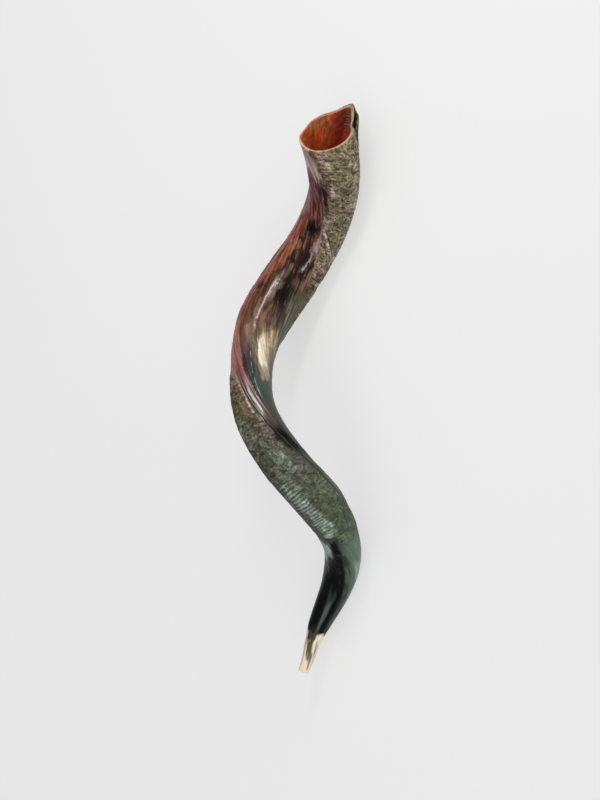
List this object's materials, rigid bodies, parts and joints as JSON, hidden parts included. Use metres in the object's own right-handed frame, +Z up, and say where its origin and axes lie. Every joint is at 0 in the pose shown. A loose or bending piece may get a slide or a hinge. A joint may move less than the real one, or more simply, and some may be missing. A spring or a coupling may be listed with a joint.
{
  "type": "spiral horn trumpet",
  "caption": "Half-polished spiral antelope-horn trumpet with a flared open bell and a cup mouthpiece drilled in its pale tip.",
  "frame": {"origin": "on the surface the horn lies on, under the middle of its box", "axes": "+Z up, +X along the axis of the corkscrew from the mouthpiece to the bell"},
  "size_m": [0.749, 0.1768, 0.1646],
  "materials": {
    "ivory": "cream-coloured horn tip, polished, with a brown wedge",
    "polished": "polished keratin, brown-black with mauve, red-brown, cream and grey-green streaks",
    "crust": "natural rough horn crust, olive grey, with long fissures and fine cross ripples",
    "keel": "polished rib, dark, with a pink streak"
  },
  "bodies": {
    "root": {"mouthpiece_tip": "ivory", "throat_sheath": "polished", "lower_sheath": "polished", "middle_sheath": "polished", "upper_sheath": "polished", "bell_sheath": "polished", "lower_crust": "crust", "middle_crust": "crust", "upper_crust": "crust", "bell_crust": "crust", "spiral_keel": "keel"}
  },
  "joints": []
}
